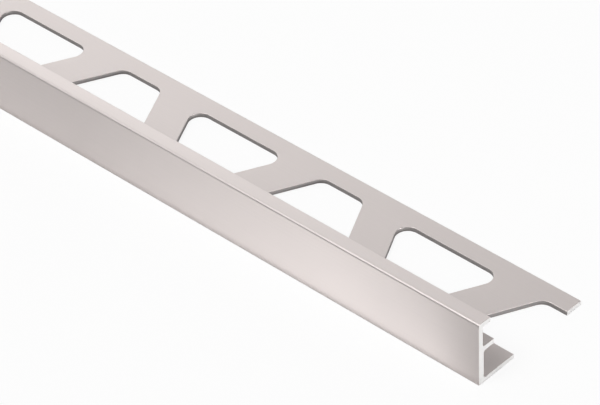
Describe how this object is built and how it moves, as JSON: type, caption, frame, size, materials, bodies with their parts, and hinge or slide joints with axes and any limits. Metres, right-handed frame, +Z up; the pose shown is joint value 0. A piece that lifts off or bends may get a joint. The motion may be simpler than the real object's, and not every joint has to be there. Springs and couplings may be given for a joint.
{
  "type": "tile edge trim",
  "caption": "Straight aluminium edge trim for tiled surfaces: a low wall with a short lip and a joint rib, on an anchoring leg with punched trapezoid holes.",
  "frame": {"origin": "centre of the bounding box on the floor plane, under the middle of the length", "axes": "+X along the length towards the end that the picture shows, +Y from the visible face towards the free edge of the leg, +Z up"},
  "size_m": [1.83, 0.0252, 0.0125],
  "materials": {
    "satin_aluminium": "fine satin anodised, a warm nickel tone"
  },
  "bodies": {
    "root": {"edge_trim": "satin_aluminium"}
  },
  "joints": []
}
